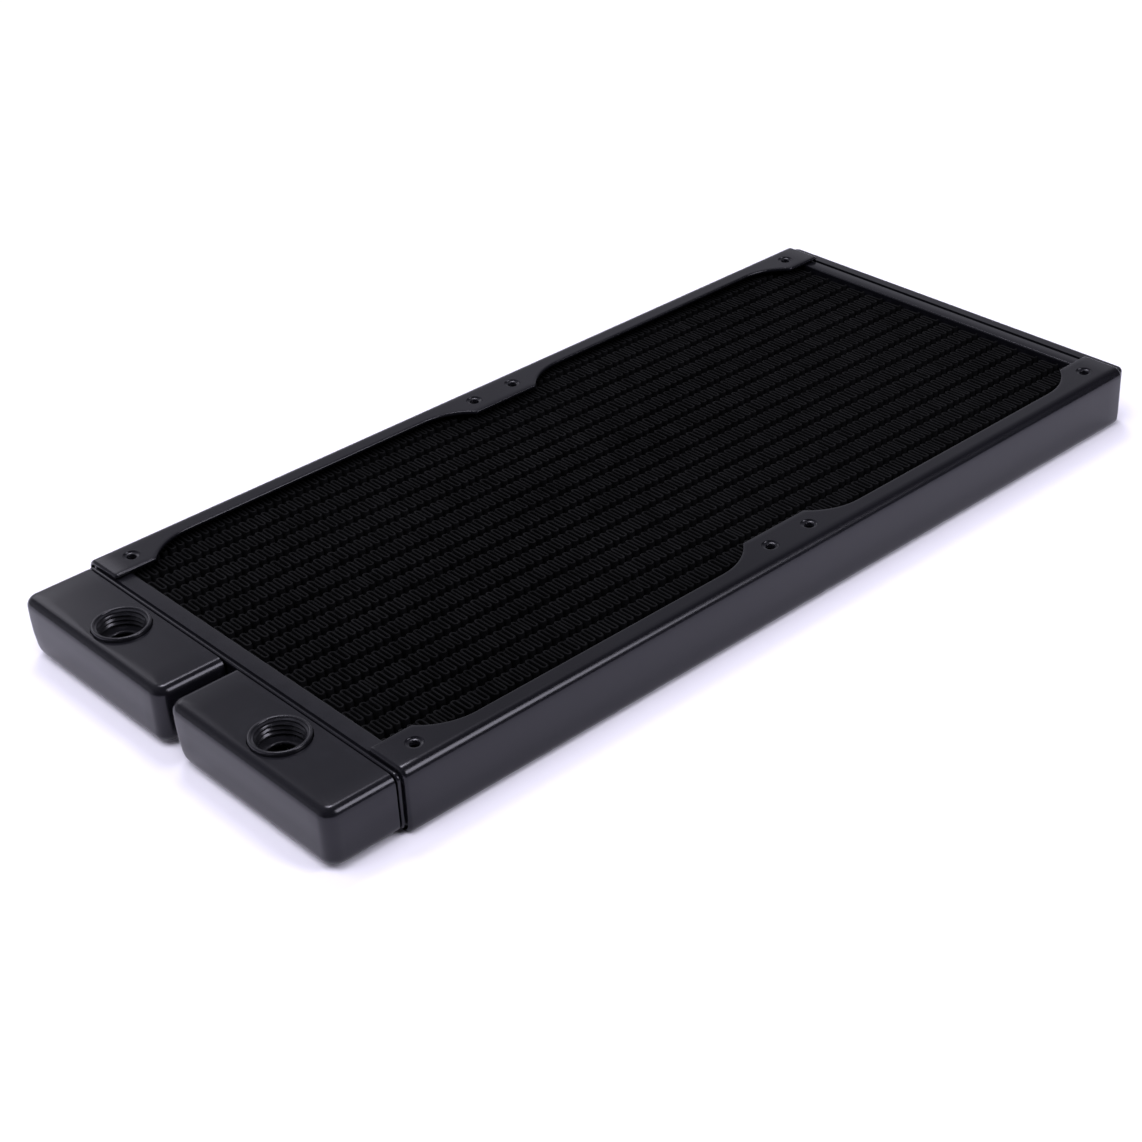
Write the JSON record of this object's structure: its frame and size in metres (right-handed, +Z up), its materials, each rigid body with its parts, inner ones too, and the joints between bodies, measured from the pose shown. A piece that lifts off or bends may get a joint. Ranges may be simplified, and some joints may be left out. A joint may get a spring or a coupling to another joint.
{
  "type": "liquid cooling radiator",
  "caption": "Slim finned heat exchanger with folded side rails tapped for fans, separate inlet and outlet tanks with threaded ports at one end and a return tank at the other.",
  "frame": {"origin": "middle of the bounding box's bottom face, on the surface the radiator lies on", "axes": "+X from the ports end to the return end, +Y across from the inlet side to the outlet side, +Z up out of the face the ports open on"},
  "size_m": [0.309, 0.14, 0.0195],
  "materials": {
    "casing_paint": "satin black powder-like paint, slightly glossy, very fine grain",
    "bush_finish": "satin black paint over a machined bush, darker in the thread",
    "tube_paint": "thin matt black paint over a flat water tube",
    "fin_paint": "thin matt black paint over folded fin sheet, catching light on its crests"
  },
  "bodies": {
    "root": {"side_rail_near": "casing_paint", "side_rail_far": "casing_paint", "header_plate_ports": "casing_paint", "header_plate_return": "casing_paint", "tank_inlet": "casing_paint", "tank_outlet": "casing_paint", "tank_return": "casing_paint", "port_bush_inlet": "bush_finish", "port_bush_outlet": "bush_finish", "flat_tube_01": "tube_paint", "flat_tube_02": "tube_paint", "flat_tube_03": "tube_paint", "flat_tube_04": "tube_paint", "flat_tube_05": "tube_paint", "flat_tube_06": "tube_paint", "flat_tube_07": "tube_paint", "flat_tube_08": "tube_paint", "flat_tube_09": "tube_paint", "flat_tube_10": "tube_paint", "flat_tube_11": "tube_paint", "flat_tube_12": "tube_paint", "flat_tube_13": "tube_paint", "flat_tube_14": "tube_paint", "flat_tube_15": "tube_paint", "flat_tube_16": "tube_paint", "fin_strip_01": "fin_paint", "fin_strip_02": "fin_paint", "fin_strip_03": "fin_paint", "fin_strip_04": "fin_paint", "fin_strip_05": "fin_paint", "fin_strip_06": "fin_paint", "fin_strip_07": "fin_paint", "fin_strip_08": "fin_paint", "fin_strip_09": "fin_paint", "fin_strip_10": "fin_paint", "fin_strip_11": "fin_paint", "fin_strip_12": "fin_paint", "fin_strip_13": "fin_paint", "fin_strip_14": "fin_paint", "fin_strip_15": "fin_paint", "fin_strip_16": "fin_paint", "fin_strip_17": "fin_paint"}
  },
  "joints": []
}
